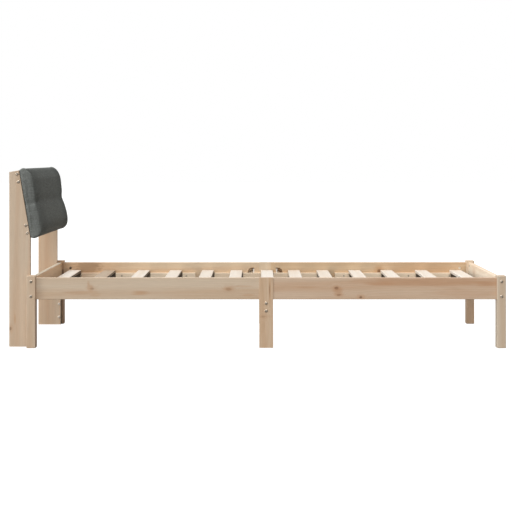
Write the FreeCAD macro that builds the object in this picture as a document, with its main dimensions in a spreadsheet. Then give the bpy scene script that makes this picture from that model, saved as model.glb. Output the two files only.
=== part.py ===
# Single bed frame in pine for a 900 x 2000 mm mattress, with a padded headrest.
# Millimetres. +X runs from head to foot, +Y to the right side, +Z up from the floor.

import math
import os

import FreeCAD
import Part
import Sketcher

Vector = FreeCAD.Vector
doc = FreeCAD.newDocument("single_bed")

# Driving dimensions
SIZES = {
    "inside_length": 2000,
    "bed_width": 990,
    "post_width": 39,
    "post_depth": 52,
    "post_height": 313.5,
    "post_round": 3.5,
    "post_end_chamfer": 2,
    "rail_height": 94.5,
    "rail_thickness": 22,
    "rail_bottom": 210,
    "rail_setback": 15,
    "rail_round": 2.5,
    "board_thickness": 21,
    "leg_width": 60,
    "leg_thickness": 25,
    "leg_chamfer": 1,
    "ledge_end_gap": 42,
    "ledge_gap": 40,
    "ledge_thickness": 24,
    "ledge_height": 28,
    "ledge_drop": 51,
    "ledge_chamfer": 1,
    "slat_width": 58,
    "slat_thickness": 13,
    "slat_end_clearance": 3,
    "slat_end_offset": 55,
    "slat_middle_pitch": 142,
    "slat_between_pitch": 159,
    "middle_slat_shift": 8.5,
    "slat_chamfer": 1.5,
    "tie_height": 58,
    "tie_thickness": 24,
    "tie_middle": 177.5,
    "upright_thickness": 25,
    "upright_overhang": 83,
    "upright_lap": 28,
    "upright_height": 763,
    "upright_floor_gap": 0.3,
    "upright_chamfer": 1,
    "slant_start": 477,
    "headrest_tilt": 9.7,
    "batten_height": 58,
    "batten_thickness": 20,
    "lower_batten_rise": 39,
    "upper_batten_rise": 266,
    "pad_side_overhang": 1,
    "pad_height": 313,
    "pad_drop": 8,
    "pad_clearance": 0.3,
    "pad_lower_thickness": 57,
    "pad_upper_thickness": 52,
    "pad_channel_thickness": 48,
    "pad_edge_thickness": 34,
    "pad_crown": 3,
    "pad_draw_in": 9,
    "pad_lobe_share": 0.5,
    "pad_shoulder_share": 0.92,
    "pad_corner_share": 0.96,
    "panel_thickness": 9,
    "panel_margin": 16,
    "bolt_diameter": 6,
    "bolt_head_diameter": 13,
    "bolt_head_height": 3.3,
    "bolt_tail": 7,
    "nut_diameter": 12,
    "nut_length": 16,
    "nut_setback": 32,
    "board_bolt_spacing": 64.5,
    "rail_bolt_spacing": 38,
    "tie_bolt_spacing": 33,
    "batten_bolt_spacing": 34,
    "upright_screw_height": 70,
    "upright_screw_spacing": 64,
    "upright_screw_length": 62,
    "stud_diameter": 8,
    "pocket_wall": 23.5,
    "pocket_length": 32,
    "pocket_height": 42,
    "pocket_depth": 18,
    "washer_thickness": 7,
    "washer_radius": 16,
    "hex_nut_diameter": 15,
    "hex_nut_height": 6.5,
    "stud_tail": 4,
    "screw_diameter": 4,
    "screw_head_diameter": 8,
    "screw_head_height": 2.5,
    "ledge_screw_margin": 44,
    "ledge_screw_shift": 59,
    "ledge_screw_length": 40,
    "slat_screw_length": 34,
    "panel_screw_depth": 7,
    "panel_screw_inset": 180,
}

sheet = doc.addObject("Spreadsheet::Sheet", "Sizes")
for row, (alias, size) in enumerate(SIZES.items(), start=1):
    sheet.set(f"A{row}", str(size))
    sheet.setAlias(f"A{row}", alias)
doc.recompute()

# Places shared by several pieces, as expressions of the sheet; lengths are measured from the bed's middle
MIDDLE = "(Sizes.upright_overhang - Sizes.bolt_head_height) / 2"
POST_X = "(Sizes.inside_length + Sizes.post_width) / 2"
POST_END_X = "(Sizes.inside_length / 2 + Sizes.post_width)"
POST_Y = "(Sizes.bed_width - Sizes.post_depth) / 2"
POST_OUTER_Y = "Sizes.bed_width / 2"
POST_INNER_Y = "(Sizes.bed_width / 2 - Sizes.post_depth)"
RAIL_INNER_Y = "(Sizes.bed_width / 2 - Sizes.rail_setback - Sizes.rail_thickness)"
RAIL_Y = f"({RAIL_INNER_Y} + Sizes.rail_thickness / 2)"
RAIL_Z = "(Sizes.rail_bottom + Sizes.rail_height / 2)"
RAIL_TOP = "(Sizes.rail_bottom + Sizes.rail_height)"
RAIL_LENGTH = "(Sizes.inside_length - Sizes.leg_width) / 2"
BOARD_LENGTH = "(Sizes.bed_width - 2 * Sizes.post_depth)"
LEG_OUTER_Y = f"({RAIL_INNER_Y} + Sizes.leg_thickness)"
LEDGE_TOP = f"({RAIL_TOP} - Sizes.ledge_drop)"
LEDGE_Z = f"({LEDGE_TOP} - Sizes.ledge_height / 2)"
LEDGE_LENGTH = "((Sizes.inside_length - 2 * Sizes.ledge_end_gap - 2 * Sizes.ledge_gap) / 3)"
LEDGE_Y = f"({RAIL_INNER_Y} - Sizes.ledge_thickness / 2)"
SLAT_TOP = f"({LEDGE_TOP} + Sizes.slat_thickness)"
UPRIGHT_Y = f"({POST_INNER_Y} - Sizes.upright_thickness / 2)"
UPRIGHT_INNER_Y = f"({POST_INNER_Y} - Sizes.upright_thickness)"
UPRIGHT_FRONT = f"({MIDDLE} - {POST_X} - Sizes.board_thickness / 2)"
UPRIGHT_BACK = f"({MIDDLE} - {POST_END_X} - Sizes.upright_overhang)"
UPRIGHT_LAP = f"({MIDDLE} - {POST_END_X} + Sizes.upright_lap)"
BATTEN_LENGTH = f"(2 * {UPRIGHT_INNER_Y})"

ENDS = {"head": "-", "foot": ""}
SIDES = {"left": "-", "right": ""}
nodes = []


def size(alias):
    return float(sheet.get(alias))


def amount(expression):
    """The number that an expression of the sheet gives now."""
    return float(sheet.evalExpression(expression))


def along(offset):
    """X of a place that lies so far from the bed's middle."""
    return f"{MIDDLE} + ({offset})"


def on_slant(forward, y, up):
    """A place on the headrest, from the foot of the slant: forward out of it and up along it."""
    cosine = "cos(Sizes.headrest_tilt)"
    sine = "sin(Sizes.headrest_tilt)"
    x = f"{UPRIGHT_FRONT} + ({forward}) * {cosine} - ({up}) * {sine}"
    z = f"Sizes.slant_start + ({forward}) * {sine} + ({up}) * {cosine}"
    return x, y, z


def bind(item, **sizes):
    for name, expression in sizes.items():
        item.setExpression(name, expression)


# Turns that point a piece made along +Z in another direction: an axis and an angle
TURNS = {
    "+x": ((0, 1, 0), "90"),
    "-x": ((0, 1, 0), "-90"),
    "+y": ((1, 0, 0), "-90"),
    "-y": ((1, 0, 0), "90"),
    "-z": ((1, 0, 0), "180"),
    "+z": ((1, 0, 0), "0"),
    "forward": ((0, 1, 0), "90 - Sizes.headrest_tilt"),
    "backward": ((0, 1, 0), "-90 - Sizes.headrest_tilt"),
    "slant": ((0, 1, 0), "-Sizes.headrest_tilt"),
}
OPPOSITE = {"+x": "-x", "-x": "+x", "+y": "-y", "-y": "+y", "-z": "+z", "+z": "-z",
            "forward": "backward", "backward": "forward"}


def place(item, at, way="+z"):
    axis, angle = TURNS[way]
    item.Placement = FreeCAD.Placement(Vector(), FreeCAD.Rotation(Vector(*axis), amount(angle)))
    item.setExpression("Placement.Rotation.Angle", angle)
    for letter, expression in zip("xyz", at):
        item.setExpression(f"Placement.Base.{letter}", expression)


def node(item, label):
    item.Label = label
    nodes.append(item)
    return item


# Timber

PARALLEL = 0.99


def sketch_on(body, role):
    sketch = body.newObject("Sketcher::SketchObject", f"{body.Name}_outline")
    plane = next(item for item in body.Origin.OriginFeatures if item.Role == role)
    sketch.AttachmentSupport = (plane, [""])
    sketch.MapMode = "FlatFace"
    return sketch


def draw_outline(sketch, corners):
    """A closed outline of straight lines through corners given as numbers."""
    points = [Vector(x, y, 0) for x, y in corners]
    for start, end in zip(points, points[1:] + points[:1]):
        sketch.addGeometry(Part.LineSegment(start, end), False)
    count = len(points)
    for line in range(count):
        sketch.addConstraint(Sketcher.Constraint("Coincident", line, 2, (line + 1) % count, 1))


def set_distance(sketch, kind, points, expression):
    """A horizontal or vertical distance between two points of a sketch, bound to the sheet."""
    number = sketch.addConstraint(Sketcher.Constraint(kind, *points, amount(expression)))
    sketch.setExpression(f"Constraints[{number}]", expression)


def runs_along(direction):
    """A test for straight edges that run in a direction."""
    def test(edge):
        return abs(edge.tangentAt(edge.FirstParameter).dot(direction)) > PARALLEL
    return test


def ease(body, feature, kind, expression, test):
    """Round or chamfer those edges of a feature that pass a test."""
    names = [f"Edge{number}" for number, edge in enumerate(feature.Shape.Edges, start=1) if test(edge)]
    eased = body.newObject(f"PartDesign::{kind}", f"{body.Name}_{kind}")
    eased.Base = (feature, names)
    eased.setExpression("Radius" if kind == "Fillet" else "Size", expression)
    doc.recompute()
    body.Tip = eased
    return eased


def draw_out(body, sketch, length):
    """Pad a sketch both ways from its plane."""
    pad = body.newObject("PartDesign::Pad", f"{body.Name}_pad")
    pad.Profile = sketch
    pad.SideType = "Symmetric"
    bind(pad, Length=length)
    doc.recompute()
    return pad


def bar(name, plane, across, upward, length, kind, edge_size, end_chamfer=None):
    """A timber bar about its own middle: a rectangle, drawn out both ways, with eased edges."""
    body = doc.addObject("PartDesign::Body", f"{name}_blank")
    sketch = sketch_on(body, plane)
    half_across = amount(across) / 2
    half_upward = amount(upward) / 2
    draw_outline(sketch, [(-half_across, -half_upward), (half_across, -half_upward),
                          (half_across, half_upward), (-half_across, half_upward)])
    for line, rule in enumerate(("Horizontal", "Vertical", "Horizontal", "Vertical")):
        sketch.addConstraint(Sketcher.Constraint(rule, line))
    sketch.addConstraint(Sketcher.Constraint("Symmetric", 0, 1, 2, 1, -1, 1))
    set_distance(sketch, "DistanceX", (0, 1, 0, 2), across)
    set_distance(sketch, "DistanceY", (1, 1, 1, 2), upward)
    pad = draw_out(body, sketch, length)
    run = sketch.Placement.Rotation.multVec(Vector(0, 0, 1))
    eased = ease(body, pad, kind, edge_size, runs_along(run))
    if end_chamfer:
        along_bar = runs_along(run)
        ease(body, eased, "Chamfer", end_chamfer, lambda edge: not along_bar(edge))
    return body


def drilled(label, blank, tools):
    """The finished piece: its blank, cut by whatever passes through it."""
    piece = blank
    for number, tool in enumerate(tools, start=1):
        cut = doc.addObject("Part::Cut", f"{label}_cut_{number}")
        cut.Base = piece
        cut.Tool = tool
        piece = cut
    return node(piece, label)


# Fasteners

BOLT_SIDES = 6
HEAD_SIDES = 8
HALF_TURN = 180


def rod(at, way, diameter, length, sides=BOLT_SIDES):
    """A few-sided rod: shanks and nuts lie inside the timber and repeat many times."""
    item = doc.addObject("Part::Prism", "rod")
    item.Polygon = sides
    bind(item, Circumradius=f"({diameter}) / 2", Height=length)
    place(item, at, way)
    return item


def round_piece(at, way, diameter, length):
    item = doc.addObject("Part::Cylinder", "round_piece")
    bind(item, Radius=f"({diameter}) / 2", Height=length)
    place(item, at, way)
    return item


def group(label, solids, cutter=None):
    """Like pieces that share a node; a cutter gives nuts and washers their holes."""
    item = doc.addObject("Part::MultiFuse", f"{label}_solids")
    item.Shapes = solids
    if cutter is None:
        return node(item, label)
    cut = doc.addObject("Part::Cut", f"{label}_holed")
    cut.Base = item
    cut.Tool = cutter
    return node(cut, label)


def button_bolt(at, way, length):
    """Shank from the surface into the timber, and a low head on the surface."""
    shank = rod(at, way, "Sizes.bolt_diameter", length)
    button = rod(at, OPPOSITE[way], "Sizes.bolt_head_diameter", "Sizes.bolt_head_height", HEAD_SIDES)
    return [shank, button]


def wood_screw(at, way, length):
    """Screw whose flat head is sunk level with the surface."""
    shank = rod(at, way, "Sizes.screw_diameter", length)
    sunk = rod(at, way, "Sizes.screw_head_diameter", "Sizes.screw_head_height")
    return [shank, sunk]


def pair(middle, spacing):
    """Two heights, half a spacing below and above a middle."""
    return [f"{middle} {sign} {spacing} / 2" for sign in "-+"]


BOLT_IN_TIMBER = "Sizes.nut_setback + Sizes.bolt_tail"
board_bolts = []
board_nuts = []
rail_bolts = []
rail_nuts = []
for end, end_sign in ENDS.items():
    inward_x = "+x" if end == "head" else "-x"
    outward_x = OPPOSITE[inward_x]
    board_face = along(f"{end_sign}({POST_X} - Sizes.board_thickness / 2)")
    for side, side_sign in SIDES.items():
        inward_y = "+y" if side == "left" else "-y"
        outward_y = OPPOSITE[inward_y]
        for z in pair(RAIL_Z, "Sizes.board_bolt_spacing"):
            start = (along(f"{end_sign}{POST_X}"), f"{side_sign}{POST_OUTER_Y}", z)
            board_bolts += button_bolt(start, inward_y, f"Sizes.post_depth + {BOLT_IN_TIMBER}")
            nut_y = f"{side_sign}({POST_INNER_Y} - Sizes.nut_setback)"
            nut_start = (board_face, nut_y, z)
            board_nuts.append(rod(nut_start, outward_x, "Sizes.nut_diameter", "Sizes.nut_length"))
        for z in pair(RAIL_Z, "Sizes.rail_bolt_spacing"):
            start = (along(f"{end_sign}{POST_END_X}"), f"{side_sign}{RAIL_Y}", z)
            rail_bolts += button_bolt(start, inward_x, f"Sizes.post_width + {BOLT_IN_TIMBER}")
            nut_x = along(f"{end_sign}(Sizes.inside_length / 2 - Sizes.nut_setback)")
            nut_start = (nut_x, f"{side_sign}{RAIL_INNER_Y}", z)
            rail_nuts.append(rod(nut_start, outward_y, "Sizes.nut_diameter", "Sizes.nut_length"))
board_bolts = group("board_bolts", board_bolts)
board_nuts = group("board_barrel_nuts", board_nuts, board_bolts)
rail_bolts = group("rail_bolts", rail_bolts)
rail_nuts = group("rail_barrel_nuts", rail_nuts, rail_bolts)

# Joint of the half rails at the middle legs: a stud through the leg, held in a pocket on each side
WALL_X = "(Sizes.leg_width / 2 + Sizes.pocket_wall)"
STUD_END_X = f"({WALL_X} + Sizes.washer_thickness + Sizes.hex_nut_height + Sizes.stud_tail)"
POCKET_STRAIGHT = "(Sizes.pocket_length - Sizes.pocket_height / 2)"


def half_moon_washer(end, end_sign):
    """A half disc with its straight edge level with the right rail's inner face."""
    start = (along(f"{end_sign}{WALL_X}"), RAIL_INNER_Y, RAIL_Z)
    way = "-x" if end == "head" else "+x"
    washer = round_piece(start, way, "2 * Sizes.washer_radius", "Sizes.washer_thickness")
    washer.Angle = HALF_TURN
    return washer


def mirrored(item):
    """The same piece on the bed's other side."""
    twin = doc.addObject("Part::Mirroring", "mirrored")
    twin.Source = item
    twin.Normal = Vector(0, 1, 0)
    return twin


def hex_nut(end, end_sign, side_sign):
    start = (along(f"{end_sign}({WALL_X} + Sizes.washer_thickness)"), f"{side_sign}{RAIL_Y}", RAIL_Z)
    return rod(start, "-x" if end == "head" else "+x", "Sizes.hex_nut_diameter", "Sizes.hex_nut_height")


def pocket_block(end_sign, length):
    """A block as deep and high as the pocket, from its flat wall outwards."""
    block = doc.addObject("Part::Box", "pocket_block")
    bind(block, Length=length, Width="Sizes.pocket_depth", Height="Sizes.pocket_height")
    middle_x = along(f"{end_sign}({WALL_X} + {length} / 2)")
    place(block, (f"{middle_x} - {length} / 2", RAIL_INNER_Y, f"{RAIL_Z} - Sizes.pocket_height / 2"))
    return block


def half_moon_pocket(end_sign):
    """Cutter for the pocket in a right rail: flat towards the leg, round at its other end."""
    arch_start = (along(f"{end_sign}({WALL_X} + {POCKET_STRAIGHT})"), RAIL_INNER_Y, RAIL_Z)
    arched = doc.addObject("Part::Fuse", "pocket_arch")
    arched.Base = round_piece(arch_start, "+y", "Sizes.pocket_height", "Sizes.pocket_depth")
    arched.Tool = pocket_block(end_sign, POCKET_STRAIGHT)
    pocket = doc.addObject("Part::Common", "pocket")
    pocket.Base = arched
    pocket.Tool = pocket_block(end_sign, "Sizes.pocket_length")
    return pocket


studs = []
hex_nuts = []
washers = []
pockets = {}
for side, side_sign in SIDES.items():
    stud_start = (along(f"-{STUD_END_X}"), f"{side_sign}{RAIL_Y}", RAIL_Z)
    studs.append(rod(stud_start, "+x", "Sizes.stud_diameter", f"2 * {STUD_END_X}"))
for end, end_sign in ENDS.items():
    washer = half_moon_washer(end, end_sign)
    washers += [washer, mirrored(washer)]
    pocket = half_moon_pocket(end_sign)
    pockets[end, "right"] = pocket
    pockets[end, "left"] = mirrored(pocket)
    hex_nuts += [hex_nut(end, end_sign, side_sign) for side_sign in SIDES.values()]
studs = group("joint_studs", studs)
washers = group("half_moon_washers", washers, studs)
hex_nuts = group("joint_hex_nuts", hex_nuts, studs)

# Fasteners of the tie beam, the headrest, the ledges and the slats
BATTENS = {"lower": "Sizes.lower_batten_rise", "upper": "Sizes.upper_batten_rise"}
LEDGES = {"head": -1, "middle": 0, "foot": 1}
LEDGE_PITCH = f"({LEDGE_LENGTH} + Sizes.ledge_gap)"
LEDGE_SCREW_REACH = f"({LEDGE_LENGTH} / 2 - Sizes.ledge_screw_margin)"


SLAT_REACH = "(Sizes.inside_length / 2 - Sizes.slat_end_offset)"
SLAT_INNER = "(2 * Sizes.slat_middle_pitch + 2 * Sizes.slat_between_pitch)"
SLAT_STEPS = [
    "Sizes.slat_middle_pitch",
    "2 * Sizes.slat_middle_pitch",
    "2 * Sizes.slat_middle_pitch + Sizes.slat_between_pitch",
    SLAT_INNER,
    f"({SLAT_INNER} + {SLAT_REACH}) / 2",
    SLAT_REACH,
]
SLATS_PER_HALF = len(SLAT_STEPS)


def slat_offset(number):
    """Slats lie closest in the middle and farthest apart at the ends, two pitches of each of three."""
    if number == 0:
        return "Sizes.middle_slat_shift"
    sign = "-" if number < 0 else ""
    return f"{sign}({SLAT_STEPS[abs(number) - 1]})"


SLATS = range(-SLATS_PER_HALF, SLATS_PER_HALF + 1)
tie_bolts = []
tie_nuts = []
batten_bolts = []
batten_nuts = []
upright_bolts = []
panel_screws = []
ledge_screws = []
slat_screws = []
for side, side_sign in SIDES.items():
    inward_y = "+y" if side == "left" else "-y"
    outward_y = OPPOSITE[inward_y]
    for z in pair("Sizes.tie_middle", "Sizes.tie_bolt_spacing"):
        start = (MIDDLE, f"{side_sign}{LEG_OUTER_Y}", z)
        tie_bolts += button_bolt(start, inward_y, f"Sizes.leg_thickness + {BOLT_IN_TIMBER}")
        nut_start = (along("Sizes.tie_thickness / 2"), f"{side_sign}({RAIL_INNER_Y} - Sizes.nut_setback)", z)
        tie_nuts.append(rod(nut_start, "-x", "Sizes.nut_diameter", "Sizes.nut_length"))
    for rise in BATTENS.values():
        for up in pair(rise, "Sizes.batten_bolt_spacing"):
            start = on_slant("-Sizes.batten_thickness / 2", f"{side_sign}{POST_INNER_Y}", up)
            batten_bolts += button_bolt(start, inward_y, f"Sizes.upright_thickness + {BOLT_IN_TIMBER}")
            nut_y = f"{side_sign}({UPRIGHT_INNER_Y} - Sizes.nut_setback)"
            nut_start = on_slant("-Sizes.batten_thickness", nut_y, up)
            batten_nuts.append(rod(nut_start, "forward", "Sizes.nut_diameter", "Sizes.nut_length"))
        screw_y = f"{side_sign}({UPRIGHT_INNER_Y} - Sizes.panel_screw_inset)"
        panel_screws += wood_screw(on_slant("-Sizes.batten_thickness", screw_y, rise), "forward",
                                   "Sizes.batten_thickness + Sizes.panel_screw_depth")
    for z in pair("Sizes.upright_screw_height", "Sizes.upright_screw_spacing"):
        start = (along(f"-{POST_X}"), f"{side_sign}{UPRIGHT_INNER_Y}", z)
        upright_bolts += button_bolt(start, outward_y, "Sizes.upright_screw_length")
    for step in LEDGES.values():
        for offset in (f"-{LEDGE_SCREW_REACH}", f"{step} * Sizes.ledge_screw_shift", LEDGE_SCREW_REACH):
            x = along(f"{step} * {LEDGE_PITCH} + {offset}")
            start = (x, f"{side_sign}({RAIL_INNER_Y} - Sizes.ledge_thickness)", LEDGE_Z)
            ledge_screws += wood_screw(start, outward_y, "Sizes.ledge_screw_length")
    for number in SLATS:
        start = (along(slat_offset(number)), f"{side_sign}{LEDGE_Y}", SLAT_TOP)
        slat_screws += wood_screw(start, "-z", "Sizes.slat_screw_length")
tie_bolts = group("tie_beam_bolts", tie_bolts)
tie_nuts = group("tie_beam_barrel_nuts", tie_nuts, tie_bolts)
batten_bolts = group("batten_bolts", batten_bolts)
batten_nuts = group("batten_barrel_nuts", batten_nuts, batten_bolts)
upright_bolts = group("upright_bolts", upright_bolts)
panel_screws = group("panel_screws", panel_screws)
ledge_screws = group("ledge_screws", ledge_screws)
slat_screws = group("slat_screws", slat_screws)

# Posts, rails, boards and legs
for end, end_sign in ENDS.items():
    board = bar(f"{end}_board", "XZ_Plane", "Sizes.board_thickness", "Sizes.rail_height",
                BOARD_LENGTH, "Fillet", "Sizes.rail_round")
    place(board, (along(f"{end_sign}{POST_X}"), "0", RAIL_Z))
    drilled(f"{end}_board", board, [board_bolts, board_nuts])
    for side, side_sign in SIDES.items():
        post = bar(f"{end}_post_{side}", "XY_Plane", "Sizes.post_width", "Sizes.post_depth",
                   "Sizes.post_height", "Fillet", "Sizes.post_round", "Sizes.post_end_chamfer")
        place(post, (along(f"{end_sign}{POST_X}"), f"{side_sign}{POST_Y}", "Sizes.post_height / 2"))
        post_bolts = [board_bolts, rail_bolts]
        if end == "head":
            post_bolts.append(upright_bolts)
        drilled(f"{end}_post_{side}", post, post_bolts)
        rail = bar(f"side_rail_{end}_{side}", "YZ_Plane", "Sizes.rail_thickness", "Sizes.rail_height",
                   RAIL_LENGTH, "Fillet", "Sizes.rail_round")
        rail_x = along(f"{end_sign}(Sizes.leg_width / 2 + {RAIL_LENGTH} / 2)")
        place(rail, (rail_x, f"{side_sign}{RAIL_Y}", RAIL_Z))
        drilled(f"side_rail_{end}_{side}", rail,
                [rail_bolts, rail_nuts, studs, pockets[end, side], ledge_screws])

for side, side_sign in SIDES.items():
    leg = bar(f"middle_leg_{side}", "XY_Plane", "Sizes.leg_width", "Sizes.leg_thickness",
              RAIL_TOP, "Chamfer", "Sizes.leg_chamfer")
    leg_y = f"{side_sign}({RAIL_INNER_Y} + Sizes.leg_thickness / 2)"
    place(leg, (MIDDLE, leg_y, f"{RAIL_TOP} / 2"))
    drilled(f"middle_leg_{side}", leg, [studs, tie_bolts, ledge_screws])
    for name, step in LEDGES.items():
        ledge = bar(f"slat_ledge_{name}_{side}", "YZ_Plane", "Sizes.ledge_thickness", "Sizes.ledge_height",
                    LEDGE_LENGTH, "Chamfer", "Sizes.ledge_chamfer")
        place(ledge, (along(f"{step} * {LEDGE_PITCH}"), f"{side_sign}{LEDGE_Y}", LEDGE_Z))
        drilled(f"slat_ledge_{name}_{side}", ledge, [ledge_screws, slat_screws])

tie = bar("tie_beam", "XZ_Plane", "Sizes.tie_thickness", "Sizes.tie_height",
          f"2 * {RAIL_INNER_Y}", "Chamfer", "Sizes.ledge_chamfer")
place(tie, (MIDDLE, "0", "Sizes.tie_middle"))
drilled("tie_beam", tie, [tie_bolts, tie_nuts])

for number in SLATS:
    label = f"slat_{number + SLATS_PER_HALF + 1:02d}"
    slat = bar(label, "XZ_Plane", "Sizes.slat_width", "Sizes.slat_thickness",
               f"2 * ({RAIL_INNER_Y} - Sizes.slat_end_clearance)", "Chamfer", "Sizes.slat_chamfer")
    place(slat, (along(slat_offset(number)), "0", f"{SLAT_TOP} - Sizes.slat_thickness / 2"))
    drilled(label, slat, [slat_screws])


# Headrest: two uprights notched under the head board, two battens, a backing panel and the pad

def upright(side, side_sign):
    """A plank whose top part slants back; its foot reaches forward under the head board."""
    body = doc.addObject("PartDesign::Body", f"headrest_upright_{side}_blank")
    sketch = sketch_on(body, "XZ_Plane")
    behind = f"{UPRIGHT_FRONT} - {UPRIGHT_BACK}"
    lap = f"{UPRIGHT_LAP} - {UPRIGHT_FRONT}"
    slant = FreeCAD.Rotation(Vector(0, 0, 1), size("headrest_tilt")).multVec(Vector(0, 1, 0))
    bend = Vector(0, size("slant_start"), 0)
    back_top = Vector(-amount(behind), size("upright_height"), 0)
    front_top = bend + slant * (back_top - bend).dot(slant)
    draw_outline(sketch, [(back_top.x, size("upright_floor_gap")),
                          (amount(lap), size("upright_floor_gap")),
                          (amount(lap), size("rail_bottom")),
                          (0, size("rail_bottom")),
                          (bend.x, bend.y),
                          (front_top.x, front_top.y),
                          (back_top.x, back_top.y)])
    foot, lap_edge, notch, front, slope, top, back = range(sketch.GeometryCount)
    for line in (foot, notch):
        sketch.addConstraint(Sketcher.Constraint("Horizontal", line))
    for line in (lap_edge, front, back):
        sketch.addConstraint(Sketcher.Constraint("Vertical", line))
    sketch.addConstraint(Sketcher.Constraint("PointOnObject", front, 1, -2))
    sketch.addConstraint(Sketcher.Constraint("Perpendicular", slope, top))
    set_distance(sketch, "DistanceX", (foot, 1, -1, 1), behind)
    set_distance(sketch, "DistanceX", (-1, 1, foot, 2), lap)
    set_distance(sketch, "DistanceY", (-1, 1, foot, 1), "Sizes.upright_floor_gap")
    set_distance(sketch, "DistanceY", (-1, 1, notch, 1), "Sizes.rail_bottom")
    set_distance(sketch, "DistanceY", (-1, 1, slope, 1), "Sizes.slant_start")
    set_distance(sketch, "DistanceY", (-1, 1, back, 1), "Sizes.upright_height")
    from_level = "90 + Sizes.headrest_tilt"
    lean = sketch.addConstraint(Sketcher.Constraint("Angle", slope, math.radians(amount(from_level))))
    sketch.setExpression(f"Constraints[{lean}]", from_level)
    pad = draw_out(body, sketch, "Sizes.upright_thickness")
    notch_height = size("rail_bottom") + size("upright_chamfer")
    ease(body, pad, "Chamfer", "Sizes.upright_chamfer", lambda edge: edge.CenterOfMass.z > notch_height)
    place(body, (UPRIGHT_FRONT, f"{side_sign}{UPRIGHT_Y}", "0"))
    drilled(f"headrest_upright_{side}", body, [batten_bolts, upright_bolts])


for side, side_sign in SIDES.items():
    upright(side, side_sign)

for name, rise in BATTENS.items():
    batten = bar(f"headrest_batten_{name}", "XZ_Plane", "Sizes.batten_thickness", "Sizes.batten_height",
                 BATTEN_LENGTH, "Chamfer", "Sizes.ledge_chamfer")
    place(batten, on_slant("-Sizes.batten_thickness / 2", "0", rise), "slant")
    drilled(f"headrest_batten_{name}", batten, [batten_bolts, batten_nuts, panel_screws])

PAD_MIDDLE = "(Sizes.pad_height / 2 - Sizes.pad_drop)"
PAD_WIDTH = f"(2 * ({POST_INNER_Y} + Sizes.pad_side_overhang))"
panel = bar("headrest_panel", "XZ_Plane", "Sizes.panel_thickness",
            "Sizes.pad_height - 2 * Sizes.panel_margin", f"{PAD_WIDTH} - 2 * Sizes.panel_margin",
            "Chamfer", "Sizes.ledge_chamfer")
place(panel, on_slant("Sizes.panel_thickness / 2", "0", PAD_MIDDLE), "slant")
drilled("headrest_panel", panel, [panel_screws])


# Where the pad is shaped from its end to its middle: share of the half width, of the draw-in, of the crown
PAD_STATIONS = [(1.0, 1.0, 0.0), (0.992, 0.5, 0.0), (0.975, 0.15, 0.0), (0.9, 0.0, 0.3), (0.5, 0.0, 0.8)]


def pad_section(y, draw, crown):
    """Outline of the pad at y: flat back, rounded top and bottom, two lobes and a channel between them."""
    back = size("pad_clearance")
    half = (size("pad_height") - draw) / 2
    edge = size("pad_edge_thickness") - draw
    shoulder = half * size("pad_shoulder_share")
    corner = half * size("pad_corner_share")
    lobe = half * size("pad_lobe_share")
    lower = size("pad_lower_thickness") - draw + crown
    upper = size("pad_upper_thickness") - draw + crown
    channel = size("pad_channel_thickness") - draw
    arcs = [
        ((back, -corner), (edge / 2, -half), (edge, -shoulder)),
        ((edge, -shoulder), (lower, -lobe), (channel, 0)),
        ((channel, 0), (upper, lobe), (edge, shoulder)),
        ((edge, shoulder), (edge / 2, half), (back, corner)),
    ]
    edges = [Part.Arc(*[Vector(x, y, z) for x, z in arc]).toShape() for arc in arcs]
    edges.append(Part.makeLine(Vector(back, y, corner), Vector(back, y, -corner)))
    return Part.Wire(edges)


def pad_shape():
    """The pad, lofted from end to end, hollowed at its back for the panel."""
    width = amount(PAD_WIDTH)
    half_width = width / 2
    draw_in = size("pad_draw_in")
    crown = size("pad_crown")
    sections = [(-reach * half_width, draw * draw_in, swell * crown) for reach, draw, swell in PAD_STATIONS]
    sections.append((0.0, 0.0, crown))
    sections += [(-y, draw, swell) for y, draw, swell in reversed(sections[:-1])]
    loft = Part.makeLoft([pad_section(*section) for section in sections], True, True)
    room = size("pad_clearance")
    margin = size("panel_margin") - room
    hollow = Part.makeBox(size("panel_thickness") + room, width - 2 * margin, size("pad_height") - 2 * margin)
    hollow.translate(Vector(0, margin - half_width, margin - size("pad_height") / 2))
    return loft.cut(hollow)


pad = doc.addObject("Part::Feature", "headrest_pad")
pad.Shape = pad_shape()
place(pad, on_slant("0", "0", PAD_MIDDLE), "slant")
node(pad, "headrest_pad")

doc.recompute()
for item in doc.Objects:
    if "Invalid" in item.State or "Error" in item.State:
        raise RuntimeError(f"{item.Label}: {item.State}")
for item in nodes:
    if item.Shape.isNull() or not item.Shape.isValid() or not item.Shape.Solids:
        raise RuntimeError(f"{item.Label} has no sound solid")

os.makedirs("parts", exist_ok=True)
for item in nodes:
    item.Shape.exportStep(f"parts/{item.Label}.step")
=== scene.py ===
import math

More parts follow.
